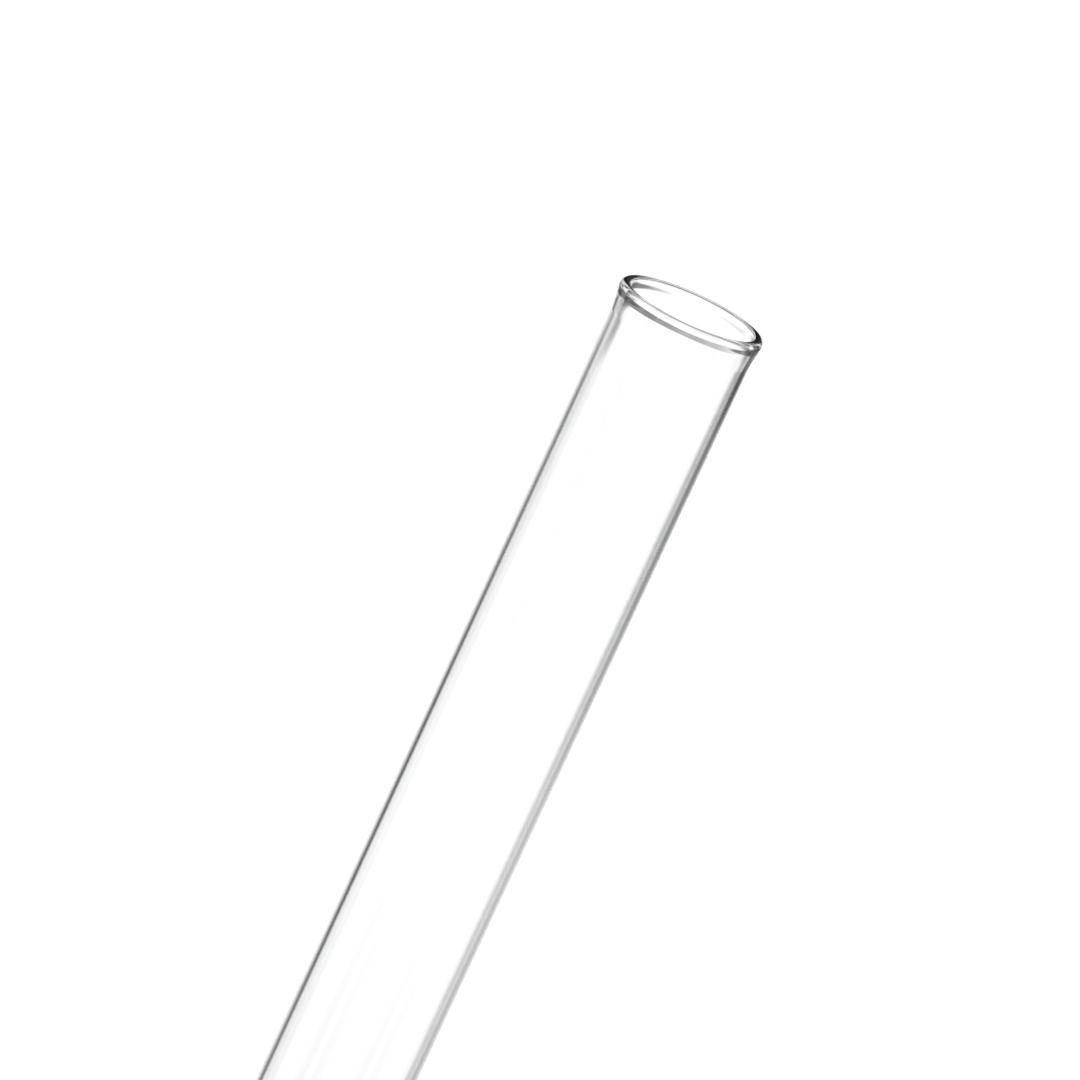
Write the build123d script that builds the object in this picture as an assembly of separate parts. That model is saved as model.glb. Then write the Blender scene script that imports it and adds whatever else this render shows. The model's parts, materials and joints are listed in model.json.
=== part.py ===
from build123d import *
import os

# A round-bottomed glass test tube with a beaded rim.
# The tube's axis is Z, with the mouth up. The origin is the lowest point of the round bottom.
# All sizes are in millimetres.

# Driving dimensions of the tube
OVERALL_LENGTH = 150.0
OUTER_DIAMETER = 16.0
WALL_THICKNESS = 0.6
BOTTOM_THICKNESS = 0.9

# Driving dimensions of the rim. Drops are measured down from the top of the lip.
BEAD_DIAMETER = 16.6
BEAD_DROP = 0.7
FLARE_HEIGHT = 2.8
CREST_DIAMETER = 15.6
THROAT_DIAMETER = 14.5
THROAT_DROP = 0.15
THROAT_LAND = 0.25
RUN_OUT_HEIGHT = 1.1
RIM_ZONE_HEIGHT = 4.0

# How far each end of a curve keeps its direction, as a share of the curve's height
FLARE_FOOT_PULL = 0.32
FLARE_TOP_PULL = 0.08
RUN_OUT_PULL = 0.25

# Sizes that follow from them
OUTER_RADIUS = OUTER_DIAMETER / 2
BORE_RADIUS = OUTER_RADIUS - WALL_THICKNESS
BEAD_RADIUS = BEAD_DIAMETER / 2
CREST_RADIUS = CREST_DIAMETER / 2
THROAT_RADIUS = THROAT_DIAMETER / 2
BOTTOM_TOP = OUTER_RADIUS
RIM_ZONE_BOTTOM = OVERALL_LENGTH - RIM_ZONE_HEIGHT
BEAD_LEVEL = OVERALL_LENGTH - BEAD_DROP
FLARE_FOOT = BEAD_LEVEL - FLARE_HEIGHT
THROAT_TOP = OVERALL_LENGTH - THROAT_DROP
THROAT_BOTTOM = THROAT_TOP - THROAT_LAND
BORE_TOP = THROAT_BOTTOM - RUN_OUT_HEIGHT


def turned(outline):
    """The solid that a closed outline in the XZ plane makes when it is turned about the tube's axis."""
    return revolve(make_face(Plane.XZ * outline), Axis.Z)


def round_bottom():
    """The closed end: a half ball outside, and a slightly flatter half ellipsoid inside, so the pole is thicker."""
    outside = CenterArc((0, BOTTOM_TOP), OUTER_RADIUS, -90, 90)
    joint = Line((OUTER_RADIUS, BOTTOM_TOP), (BORE_RADIUS, BOTTOM_TOP))
    inside = EllipticalCenterArc(
        (0, BOTTOM_TOP),
        BORE_RADIUS,
        BOTTOM_TOP - BOTTOM_THICKNESS,
        start_angle=-90,
        arc_size=90,
    )
    pole = Line((0, 0), (0, BOTTOM_THICKNESS))
    return turned(outside + joint + inside + pole)


def tube_wall():
    """The straight wall between the round bottom and the rim."""
    height = RIM_ZONE_BOTTOM - BOTTOM_TOP
    wall = Rectangle(WALL_THICKNESS, height, align=(Align.MIN, Align.MIN))
    return revolve(Plane.XZ * (Pos(BORE_RADIUS, BOTTOM_TOP) * wall), Axis.Z)


def beaded_rim():
    """The top of the wall: a flare out to the bead, a rounded lip, and a throat that a stopper seals against."""
    outer_wall = Line((OUTER_RADIUS, RIM_ZONE_BOTTOM), (OUTER_RADIUS, FLARE_FOOT))
    flare = Bezier(
        (OUTER_RADIUS, FLARE_FOOT),
        (OUTER_RADIUS, FLARE_FOOT + FLARE_FOOT_PULL * FLARE_HEIGHT),
        (BEAD_RADIUS, BEAD_LEVEL - FLARE_TOP_PULL * FLARE_HEIGHT),
        (BEAD_RADIUS, BEAD_LEVEL),
    )
    outer_lip = EllipticalCenterArc(
        (CREST_RADIUS, BEAD_LEVEL),
        BEAD_RADIUS - CREST_RADIUS,
        BEAD_DROP,
        start_angle=0,
        arc_size=90,
    )
    inner_lip = EllipticalCenterArc(
        (CREST_RADIUS, THROAT_TOP),
        CREST_RADIUS - THROAT_RADIUS,
        THROAT_DROP,
        start_angle=90,
        arc_size=90,
    )
    throat = Line((THROAT_RADIUS, THROAT_TOP), (THROAT_RADIUS, THROAT_BOTTOM))
    run_out = Bezier(
        (THROAT_RADIUS, THROAT_BOTTOM),
        (THROAT_RADIUS, THROAT_BOTTOM - RUN_OUT_PULL * RUN_OUT_HEIGHT),
        (BORE_RADIUS, BORE_TOP + RUN_OUT_PULL * RUN_OUT_HEIGHT),
        (BORE_RADIUS, BORE_TOP),
    )
    inner_wall = Line((BORE_RADIUS, BORE_TOP), (BORE_RADIUS, RIM_ZONE_BOTTOM))
    joint = Line((BORE_RADIUS, RIM_ZONE_BOTTOM), (OUTER_RADIUS, RIM_ZONE_BOTTOM))
    return turned(outer_wall + flare + outer_lip + inner_lip + throat + run_out + inner_wall + joint)


PARTS = {
    "beaded_rim": beaded_rim(),
    "tube_wall": tube_wall(),
    "round_bottom": round_bottom(),
}

os.makedirs("parts", exist_ok=True)
for node, solid in PARTS.items():
    export_step(solid, f"parts/{node}.step")
    print(f"{node}: {solid.volume:.1f} mm3, z {solid.bounding_box().min.Z:.2f} to {solid.bounding_box().max.Z:.2f}")
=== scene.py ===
# A clear glass test tube with a round bottom and a beaded rim, in a white studio tent.
import json
import math

import bmesh
import bpy
from mathutils import Matrix, Vector


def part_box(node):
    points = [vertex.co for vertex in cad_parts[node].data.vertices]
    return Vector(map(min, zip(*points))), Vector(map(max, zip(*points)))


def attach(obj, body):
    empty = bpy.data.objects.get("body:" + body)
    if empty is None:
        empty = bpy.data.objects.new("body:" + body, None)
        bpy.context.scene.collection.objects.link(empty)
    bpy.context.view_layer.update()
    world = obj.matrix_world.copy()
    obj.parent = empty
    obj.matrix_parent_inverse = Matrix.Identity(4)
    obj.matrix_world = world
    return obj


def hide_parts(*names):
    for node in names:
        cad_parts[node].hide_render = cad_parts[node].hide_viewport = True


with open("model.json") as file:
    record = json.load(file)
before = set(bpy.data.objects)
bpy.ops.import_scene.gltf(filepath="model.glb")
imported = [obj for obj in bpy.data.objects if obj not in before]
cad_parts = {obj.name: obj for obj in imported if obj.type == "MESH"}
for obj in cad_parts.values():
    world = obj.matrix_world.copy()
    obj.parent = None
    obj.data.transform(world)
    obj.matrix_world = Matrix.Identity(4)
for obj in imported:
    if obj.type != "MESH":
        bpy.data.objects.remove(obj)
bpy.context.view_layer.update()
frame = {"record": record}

MM = 0.001
MICRON = 0.000001

# The glassworker's sizes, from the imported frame
MOUNTS = {mount["name"]: mount for mount in frame["record"]["mounts"]}
OUTER_RADIUS = MOUNTS["outer_wall"]["dims"]["r_mm"] * MM
BORE_RADIUS = MOUNTS["mouth_bore"]["dims"]["r_mm"] * MM
THROAT_RADIUS = MOUNTS["stopper_throat"]["dims"]["r_mm"] * MM
BEAD_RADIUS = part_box("beaded_rim")[1].x
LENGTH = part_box("beaded_rim")[1].z

# The rest of the glassworker's sizes. Drops are measured down from the top of the lip.
CREST_RADIUS = 7.8 * MM
BEAD_DROP = 0.7 * MM
FLARE_HEIGHT = 2.8 * MM
THROAT_DROP = 0.15 * MM
THROAT_LAND = 0.25 * MM
RUN_OUT_HEIGHT = 1.1 * MM
BOTTOM_THICKNESS = 0.9 * MM

# How far each end of a curve keeps its direction, as a share of the curve's height
FLARE_PULLS = (0.32, 0.08)
RUN_OUT_PULLS = (0.25, 0.25)

# How finely the glass is turned: round the axis, along each bend and along each straight stretch
TURN_STEPS = 256
BEND_STEPS = 24
WALL_STEPS = 16
WELD_DISTANCE = 0.1 * MICRON

# The tree's named inputs
SIZES = {
    "Outer Radius": OUTER_RADIUS,
    "Bore Radius": BORE_RADIUS,
    "Throat Radius": THROAT_RADIUS,
    "Bead Radius": BEAD_RADIUS,
    "Crest Radius": CREST_RADIUS,
    "Length": LENGTH,
    "Bead Drop": BEAD_DROP,
    "Flare Height": FLARE_HEIGHT,
    "Throat Drop": THROAT_DROP,
    "Throat Land": THROAT_LAND,
    "Run Out Height": RUN_OUT_HEIGHT,
    "Bottom Thickness": BOTTOM_THICKNESS,
}
COUNTS = {
    "Turn Steps": TURN_STEPS,
    "Bend Steps": BEND_STEPS,
    "Wall Steps": WALL_STEPS,
}


def new_tree(name, sockets):
    """An empty geometry tree with one geometry output and named inputs for its sizes."""
    tree = bpy.data.node_groups.new(name, "GeometryNodeTree")
    tree.interface.new_socket("Geometry", in_out="OUTPUT", socket_type="NodeSocketGeometry")
    for socket_name, kind in sockets:
        tree.interface.new_socket(socket_name, in_out="INPUT", socket_type=kind)
    return tree


class Wiring:
    """Short words for adding and joining the nodes of one tree."""

    def __init__(self, tree):
        self.nodes = tree.nodes
        self.links = tree.links

    def add(self, kind, inputs=None, **settings):
        node = self.nodes.new(kind)
        for name, value in settings.items():
            setattr(node, name, value)
        for key, value in (inputs or {}).items():
            self.put(node.inputs[key], value)
        return node

    def put(self, socket, value):
        if isinstance(value, bpy.types.NodeSocket):
            self.links.new(value, socket)
        else:
            socket.default_value = value

    def math(self, operation, *values, clamp=False):
        node = self.add("ShaderNodeMath", operation=operation, use_clamp=clamp)
        for socket, value in zip(node.inputs, values):
            self.put(socket, value)
        return node.outputs[0]

    def point(self, radius, height):
        """A point of the outline: its distance from the tube's axis, and its height."""
        return self.add("ShaderNodeCombineXYZ", {"X": radius, "Y": height}).outputs[0]


def turned_glass_tree():
    """The outline of the glass, from its outer pole over the rim to its inner pole, turned about Z."""
    sockets = [(name, "NodeSocketFloat") for name in SIZES]
    sockets += [(name, "NodeSocketInt") for name in COUNTS]
    sockets += [("Glass", "NodeSocketMaterial")]
    tree = new_tree("turned_glass_tube", sockets)
    w = Wiring(tree)
    size = w.add("NodeGroupInput").outputs
    outer, bore, throat = size["Outer Radius"], size["Bore Radius"], size["Throat Radius"]
    bead, crest, length = size["Bead Radius"], size["Crest Radius"], size["Length"]
    bead_level = w.math("SUBTRACT", length, size["Bead Drop"])
    flare_foot = w.math("SUBTRACT", bead_level, size["Flare Height"])
    throat_top = w.math("SUBTRACT", length, size["Throat Drop"])
    throat_bottom = w.math("SUBTRACT", throat_top, size["Throat Land"])
    bore_top = w.math("SUBTRACT", throat_bottom, size["Run Out Height"])
    inner_bottom = w.math("SUBTRACT", outer, size["Bottom Thickness"])
    strips = []

    def quarter(centre_radius, centre_height, half_width, half_height, start):
        """A quarter of an ellipse, turning to the left from the start angle."""
        arc = w.add("GeometryNodeCurveArc", {"Resolution": size["Bend Steps"], "Radius": 1.0})
        arc.inputs["Start Angle"].default_value = math.radians(start)
        arc.inputs["Sweep Angle"].default_value = math.radians(90)
        place = w.add("GeometryNodeTransform", {"Geometry": arc.outputs["Curve"]})
        w.put(place.inputs["Translation"], w.point(centre_radius, centre_height))
        w.put(place.inputs["Scale"], w.point(half_width, half_height))
        strips.append(place.outputs["Geometry"])

    def straight(radius, low, high):
        """A plain upright stretch of wall."""
        ends = {"Start": w.point(radius, low), "End": w.point(radius, high)}
        line = w.add("GeometryNodeCurvePrimitiveLine", ends).outputs["Curve"]
        steps = w.add("GeometryNodeResampleCurve", {"Curve": line, "Count": size["Wall Steps"]})
        strips.append(steps.outputs["Curve"])

    def sway(low_radius, low, high_radius, high, height, pulls):
        """A smooth step in radius that leaves each end upright."""
        low_handle = w.math("MULTIPLY_ADD", height, pulls[0], low)
        high_handle = w.math("MULTIPLY_ADD", height, -pulls[1], high)
        curve = w.add("GeometryNodeCurvePrimitiveBezierSegment", {"Resolution": size["Bend Steps"]})
        w.put(curve.inputs["Start"], w.point(low_radius, low))
        w.put(curve.inputs["Start Handle"], w.point(low_radius, low_handle))
        w.put(curve.inputs["End Handle"], w.point(high_radius, high_handle))
        w.put(curve.inputs["End"], w.point(high_radius, high))
        strips.append(curve.outputs["Curve"])

    quarter(0.0, outer, outer, outer, -90)
    straight(outer, outer, flare_foot)
    sway(outer, flare_foot, bead, bead_level, size["Flare Height"], FLARE_PULLS)
    quarter(crest, bead_level, w.math("SUBTRACT", bead, crest), size["Bead Drop"], 0)
    quarter(crest, throat_top, w.math("SUBTRACT", crest, throat), size["Throat Drop"], 90)
    straight(throat, throat_bottom, throat_top)
    sway(bore, bore_top, throat, throat_bottom, size["Run Out Height"], RUN_OUT_PULLS)
    straight(bore, outer, bore_top)
    quarter(0.0, outer, bore, inner_bottom, -90)

    outline = w.add("GeometryNodeJoinGeometry")
    for strip in strips:
        w.put(outline.inputs["Geometry"], strip)
    # The outline is swept round a circle of the outer radius, so it goes in upside down and moved in by that
    upright = w.add("GeometryNodeTransform", {"Geometry": outline.outputs["Geometry"], "Scale": (1, -1, 1)})
    w.put(upright.inputs["Translation"], w.point(w.math("MULTIPLY", outer, -1.0), 0.0))
    circle = w.add("GeometryNodeCurvePrimitiveCircle", {"Resolution": size["Turn Steps"], "Radius": outer})
    turned = w.add("GeometryNodeCurveToMesh", {"Curve": circle.outputs["Curve"]})
    w.put(turned.inputs["Profile Curve"], upright.outputs["Geometry"])
    mesh = turned.outputs["Mesh"]
    closed = w.add("GeometryNodeMergeByDistance", {"Geometry": mesh, "Distance": WELD_DISTANCE}).outputs[0]
    smooth = w.add("GeometryNodeSetShadeSmooth", {"Geometry": closed}).outputs[0]
    real = w.add("GeometryNodeRealizeInstances", {"Geometry": smooth}).outputs[0]
    glass = w.add("GeometryNodeSetMaterial", {"Geometry": real, "Material": size["Glass"]}).outputs[0]
    w.add("NodeGroupOutput", {"Geometry": glass})
    return tree


# The glass: how it bends light, and the colour and strength of the tint in its depth
GLASS_IOR = 1.474
GLASS_TINT = (0.80, 0.92, 0.95, 1.0)
TINT_DENSITY = 25.0
# Its surface: ripples to the metre along each axis, and how high the relief stands.
# Draw lines run the length of the tube, so their ripples are few along Z.
DRAW_LINE_RIPPLES = (1100.0, 1100.0, 12.0)
DRAW_LINE_SHARE = 0.3
FLAME_RIPPLES = 140.0
RELIEF_HEIGHT = 0.6 * MICRON
HAZE_RIPPLES = 60.0
HAZE_ROUGHNESS = 0.01


def clear_glass():
    """Drawn borosilicate glass: clear and fire polished, with a breath of blue-green in its depth."""
    material = bpy.data.materials.new("clear_glass")
    material.use_nodes = True
    w = Wiring(material.node_tree)
    shader = w.nodes["Principled BSDF"]
    shader.inputs["Base Color"].default_value = (1.0, 1.0, 1.0, 1.0)
    shader.inputs["IOR"].default_value = GLASS_IOR
    shader.inputs["Transmission Weight"].default_value = 1.0
    depth = w.add("ShaderNodeVolumeAbsorption", {"Color": GLASS_TINT, "Density": TINT_DENSITY})
    w.put(w.nodes["Material Output"].inputs["Volume"], depth.outputs["Volume"])

    place = w.add("ShaderNodeTexCoord").outputs["Object"]
    lengthwise = w.add("ShaderNodeMapping", {"Vector": place, "Scale": DRAW_LINE_RIPPLES}).outputs["Vector"]
    draw_lines = w.add("ShaderNodeTexNoise", {"Vector": lengthwise, "Scale": 1.0, "Detail": 2.0})
    # A slow unevenness left by the flame
    swell = w.add("ShaderNodeTexNoise", {"Vector": place, "Scale": FLAME_RIPPLES, "Detail": 1.0})
    relief = w.math("MULTIPLY_ADD", draw_lines.outputs[0], DRAW_LINE_SHARE, swell.outputs[0])
    bump = w.add("ShaderNodeBump", {"Height": relief, "Strength": 1.0, "Distance": RELIEF_HEIGHT})
    w.put(shader.inputs["Normal"], bump.outputs["Normal"])
    # The polish is a little less even where hands and brushes touch it
    haze = w.add("ShaderNodeTexNoise", {"Vector": place, "Scale": HAZE_RIPPLES, "Detail": 4.0})
    w.put(shader.inputs["Roughness"], w.math("MULTIPLY", haze.outputs[0], HAZE_ROUGHNESS))
    return material


def glass_tube():
    """The whole tube as one piece of glass, with its sizes set on the tree."""
    holder = bpy.data.objects.new("glass_tube_outline", bpy.data.meshes.new("glass_tube_outline"))
    bpy.context.collection.objects.link(holder)
    modifier = holder.modifiers.new("turned_glass", "NODES")
    modifier.node_group = turned_glass_tree()
    values = SIZES | COUNTS | {"Glass": clear_glass()}
    for item in modifier.node_group.interface.items_tree:
        if item.in_out == "INPUT":
            modifier[item.identifier] = values[item.name]
    depsgraph = bpy.context.evaluated_depsgraph_get()
    mesh = bpy.data.meshes.new_from_object(holder.evaluated_get(depsgraph))
    bpy.data.objects.remove(holder)
    face_outwards(mesh)
    tube = bpy.data.objects.new("glass_tube", mesh)
    mesh.name = "glass_tube"
    bpy.context.collection.objects.link(tube)
    return tube


def face_outwards(mesh):
    """Turns every face of a closed mesh away from the material inside it."""
    shell = bmesh.new()
    shell.from_mesh(mesh)
    bmesh.ops.recalc_face_normals(shell, faces=shell.faces)
    shell.to_mesh(mesh)
    shell.free()


# The floor: its half width in tube lengths, and how white and how matt its paper is
FLOOR_REACH = 40
PAPER_WHITE = 0.9
PAPER_ROUGHNESS = 0.9


def pale_floor():
    """A seamless white sheet. Only the camera and soft light see it; the glass is drawn by the tent."""
    side = FLOOR_REACH * LENGTH
    mesh = bpy.data.meshes.new("floor")
    corners = [(-side, -side, 0), (side, -side, 0), (side, side, 0), (-side, side, 0)]
    mesh.from_pydata(corners, [], [(0, 1, 2, 3)])
    floor = bpy.data.objects.new("floor", mesh)
    bpy.context.collection.objects.link(floor)
    paper = bpy.data.materials.new("white_paper")
    paper.use_nodes = True
    shader = paper.node_tree.nodes["Principled BSDF"]
    shader.inputs["Base Color"].default_value = (PAPER_WHITE, PAPER_WHITE, PAPER_WHITE, 1.0)
    shader.inputs["Roughness"].default_value = PAPER_ROUGHNESS
    shader.inputs["Specular IOR Level"].default_value = 0.0
    mesh.materials.append(paper)
    floor.visible_transmission = False
    floor.visible_glossy = False


# The tent is four white panels with dark cards on them. A card is a range of directions, in degrees:
# across its panel from the panel's middle, or up from the horizon, which is its rise. Two numbers are
# where it starts and where it is full, and four add where it starts to fade and where it ends.
# A depth is the share of the brightness that a card takes.
PANEL_PERIOD = 90.0
PANEL_MIDDLE = 45.0
PANEL_BRIGHTNESS = 1.055
# A panel is a little darker towards both its sides
SIDE_FALL = (14.0, 30.0)
SIDE_DEPTH = 0.16
# The left card is a low one. The right card goes on upwards, and keeps a share of its depth lower down.
LEFT_CARD = (17.0, 44.0)
LEFT_CARD_RISE = (-23.4, -17.0, -15.6, -7.7)
LEFT_CARD_DEPTH = 0.95
RIGHT_CARD = (9.5, 18.0)
RIGHT_CARD_RISE = (-16.0, -11.3)
RIGHT_CARD_DEPTH = 0.65
RIGHT_CARD_SHARE_BELOW = 0.26
# A narrow stripe on the left draws the second line inside the left wall
STRIPE = (7.1, 9.0, 10.3, 14.7)
STRIPE_RISE = (-12.7, -11.8)
STRIPE_DEPTH = 0.34
# Above the horizon there is a card near the middle, and the ceiling
UPPER_CARD = (-13.7, -12.3, -3.0, 7.0)
UPPER_CARD_START = (7.0, 9.0)
UPPER_CARD_END = (60.0, 80.0)
UPPER_CARD_DEPTH = 0.49
CEILING = (6.0, 9.0)
CEILING_DEPTH = 0.55
# In the panel that the camera faces, those two start lower down: they draw the rings under the lip
FACED_PANEL = (40.0, 45.0)
FACED_CARD_START = (-3.4, -1.4)
FACED_CEILING = (2.6, 8.0)
# A grey card lies on the floor behind the tube as the camera sees it: it draws the crest of the rim
FLOOR_CARD = (23.0, 46.5)
FLOOR_CARD_RISE = (-60.6, -59.8, -48.0, -30.5)
FLOOR_CARD_DEPTH = 0.5
# The foot of the tent is a trace darker, from the second of these rises down to the first
FOOT_OF_TENT = (-19.5, -16.8)
FOOT_DEPTH = 0.04
# The left and right cards go on below at a share of their depth, for a camera that looks down more
# steeply, and end where the tent's paper turns under
LOW_ZONE = (-24.0, -20.0)
LOW_ZONE_SHARE = 0.65
PAPER = (-45.0, -38.0)
# The left and right cards of two panels meet at each joint, so both fade out just short of it
SEAM = (39.0, 45.0)
# For a camera at the tube's own height a joint can stand behind the tube, so there the fade is wider,
# and a card of its own takes the left card's place
JOINT = (34.0, 43.0)
JOINT_RISE = (-10.0, -8.5)
LEVEL_CARD = (13.0, 17.0, 28.0, 33.0)
LEVEL_CARD_RISE = (-9.5, -8.5, 1.5, 2.5)
LEVEL_CARD_DEPTH = 0.5
# Turns brightness as the eye reads it into light
EYE_GAMMA = 2.2
FLOOR_BRIGHTNESS = 1.2


def studio_tent():
    """Soft light from all round. The camera sees plain white directly, and the tent through the glass."""
    world = bpy.data.worlds.new("studio_tent")
    bpy.context.scene.world = world
    world.use_nodes = True
    world.node_tree.nodes.clear()
    w = Wiring(world.node_tree)
    direction = w.add("ShaderNodeTexCoord").outputs["Generated"]
    way = w.add("ShaderNodeSeparateXYZ", {"Vector": direction}).outputs
    turn = w.math("DEGREES", w.math("ARCTAN2", way["X"], way["Y"]))
    rise = w.math("DEGREES", w.math("ARCSINE", way["Z"]))
    half = PANEL_PERIOD / 2
    across = w.math("WRAP", w.math("SUBTRACT", turn, PANEL_MIDDLE), half, -half)
    leftwards = w.math("MULTIPLY", across, -1.0)
    sideways = w.math("ABSOLUTE", across)

    def ramp(value, start, full):
        """None before the start, and all once full."""
        return w.math("DIVIDE", w.math("SUBTRACT", value, start), full - start, clamp=True)

    def band(value, start, full, fade, end):
        """Rises as a ramp does, and falls again to none at the end."""
        return w.math("SUBTRACT", ramp(value, start, full), ramp(value, fade, end))

    def less(amount):
        return w.math("SUBTRACT", 1.0, amount)

    def times(first, *others):
        for other in others:
            first = w.math("MULTIPLY", first, other)
        return first

    def most(one, other):
        return w.math("MAXIMUM", one, other)

    # What fades the side cards out: the joints between panels, and the paper under the tent
    off_seam = less(ramp(sideways, *SEAM))
    off_joint = times(off_seam, less(times(ramp(sideways, *JOINT), ramp(rise, *JOINT_RISE))))
    on_panel = ramp(rise, *PAPER)
    low = times(less(ramp(rise, *LOW_ZONE)), LOW_ZONE_SHARE)

    left_reach = most(band(rise, *LEFT_CARD_RISE), low)
    left = times(ramp(leftwards, *LEFT_CARD), left_reach, off_seam, on_panel, LEFT_CARD_DEPTH)
    stripe = times(band(leftwards, *STRIPE), ramp(rise, *STRIPE_RISE), STRIPE_DEPTH)
    left_and_stripe = w.math("ADD", left, stripe)
    right_rise = less(times(less(ramp(rise, *RIGHT_CARD_RISE)), 1.0 - RIGHT_CARD_SHARE_BELOW))
    right_reach = most(right_rise, low)
    right = times(ramp(across, *RIGHT_CARD), right_reach, off_joint, on_panel, RIGHT_CARD_DEPTH)
    sides = times(ramp(sideways, *SIDE_FALL), off_joint, on_panel, SIDE_DEPTH)
    level_card = times(band(leftwards, *LEVEL_CARD), band(rise, *LEVEL_CARD_RISE), LEVEL_CARD_DEPTH)

    # What belongs to the panel that the camera faces
    opposite = w.math("ABSOLUTE", w.math("WRAP", w.math("SUBTRACT", turn, PANEL_MIDDLE), 180.0, -180.0))
    faced = less(ramp(opposite, *FACED_PANEL))
    upper_start = most(times(ramp(rise, *FACED_CARD_START), faced), ramp(rise, *UPPER_CARD_START))
    upper_end = less(ramp(rise, *UPPER_CARD_END))
    upper = times(band(across, *UPPER_CARD), upper_start, upper_end, UPPER_CARD_DEPTH)
    ceiling_reach = most(times(ramp(rise, *FACED_CEILING), faced), ramp(rise, *CEILING))
    ceiling = times(ceiling_reach, CEILING_DEPTH)
    floor_card = times(less(ramp(opposite, *FLOOR_CARD)), band(rise, *FLOOR_CARD_RISE), FLOOR_CARD_DEPTH)
    foot = times(less(ramp(rise, *FOOT_OF_TENT)), FOOT_DEPTH)

    cards = [left_and_stripe, right, sides, level_card, upper, ceiling, floor_card, foot]
    seen_brightness = times(PANEL_BRIGHTNESS, *[less(card) for card in cards])
    light = w.math("POWER", seen_brightness, EYE_GAMMA)
    white = (1.0, 1.0, 1.0, 1.0)
    tent = w.add("ShaderNodeBackground", {"Color": light}).outputs[0]
    on_floor = w.add("ShaderNodeBackground", {"Color": white, "Strength": FLOOR_BRIGHTNESS}).outputs[0]
    backdrop = w.add("ShaderNodeBackground", {"Color": white}).outputs[0]
    ray = w.add("ShaderNodeLightPath").outputs
    soft = w.add("ShaderNodeMixShader", {0: ray["Is Diffuse Ray"], 1: tent, 2: on_floor}).outputs[0]
    seen = w.add("ShaderNodeMixShader", {0: ray["Is Camera Ray"], 1: soft, 2: backdrop}).outputs[0]
    w.add("ShaderNodeOutputWorld", {"Surface": seen})


# The camera: its angles in degrees round, above and about its own axis, and its distance from the mouth.
# It looks at a point a little to one side of the mouth and below it.
CAMERA_AZIMUTH = -45.0
CAMERA_ELEVATION = 12.34
CAMERA_ROLL = 24.78
CAMERA_DISTANCE = 855 * MM
CAMERA_NEAREST = 10 * MM
CAMERA_LENS = 268.45
AIM_SIDE = -4.51 * MM
AIM_DROP = 29.99 * MM


def photographer():
    """A long lens that looks down a little on the mouth, rolled so that the tube leans."""
    azimuth, elevation = math.radians(CAMERA_AZIMUTH), math.radians(CAMERA_ELEVATION)
    right = Vector((math.cos(azimuth), math.sin(azimuth), 0))
    outwards = Vector((math.sin(azimuth), -math.cos(azimuth), 0))
    back = outwards * math.cos(elevation) + Vector((0, 0, math.sin(elevation)))
    mouth = Vector((0, 0, LENGTH))
    stand = mouth + back * CAMERA_DISTANCE
    aim = mouth + right * AIM_SIDE - Vector((0, 0, AIM_DROP))
    data = bpy.data.cameras.new("camera")
    data.lens = CAMERA_LENS
    data.clip_start = CAMERA_NEAREST
    camera = bpy.data.objects.new("camera", data)
    bpy.context.collection.objects.link(camera)
    level = (aim - stand).to_track_quat("-Z", "Y").to_matrix().to_4x4()
    roll = Matrix.Rotation(math.radians(CAMERA_ROLL), 4, "Z")
    camera.matrix_world = Matrix.Translation(stand) @ level @ roll
    bpy.context.scene.camera = camera


photographer()
tube = glass_tube()
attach(tube, "root")
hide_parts("beaded_rim", "tube_wall", "round_bottom")
pale_floor()
studio_tent()
bpy.context.scene.view_settings.view_transform = "Standard"
